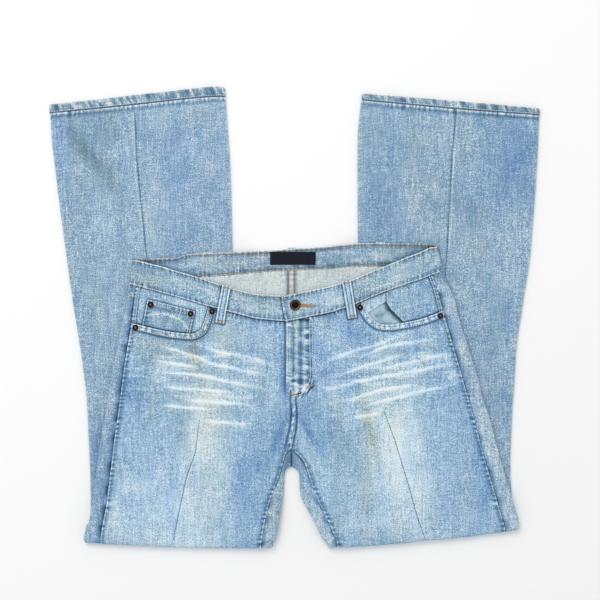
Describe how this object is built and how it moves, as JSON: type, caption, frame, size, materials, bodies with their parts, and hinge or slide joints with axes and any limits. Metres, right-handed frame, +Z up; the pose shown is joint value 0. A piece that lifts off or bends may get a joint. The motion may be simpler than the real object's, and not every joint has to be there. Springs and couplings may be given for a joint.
{
  "type": "flare jeans",
  "caption": "Light-wash denim flare jeans laid front up with both legs folded back under the seat, hems beyond the open waist",
  "frame": {"origin": "On the floor under the middle of the box round the folded jeans", "axes": "+X to the right as the jeans lie front up, +Y from the crotch to the waist and on to the hems, +Z up"},
  "size_m": [0.685, 0.6446, 0.0154],
  "materials": {
    "denim_front": "washed twill, faded",
    "denim_back": "washed twill, mid blue",
    "pocket_cotton": "plain woven cotton",
    "woven_label": "plain dark woven tape",
    "antique_metal": "dark antique plating"
  },
  "bodies": {
    "root": {"front_left": "denim_front", "front_right": "denim_front", "back_left": "denim_back", "back_right": "denim_back", "yoke_left": "denim_back", "yoke_right": "denim_back", "waistband": "denim_front", "pocket_facing_left": "denim_front", "pocket_facing_right": "denim_front", "pocket_bag_right": "pocket_cotton", "coin_pocket": "denim_front", "fly_zip": "denim_back", "belt_loop_front_left": "denim_front", "belt_loop_front_right": "denim_front", "belt_loop_back_left": "denim_back", "belt_loop_back_centre": "denim_back", "belt_loop_back_right": "denim_back", "label": "woven_label", "hem_left": "denim_back", "hem_right": "denim_back", "button": "antique_metal", "rivet_coin_left": "antique_metal", "rivet_coin_right": "antique_metal", "rivet_left_side": "antique_metal", "rivet_left_band": "antique_metal", "rivet_right_band": "antique_metal", "rivet_right_side": "antique_metal"}
  },
  "joints": []
}
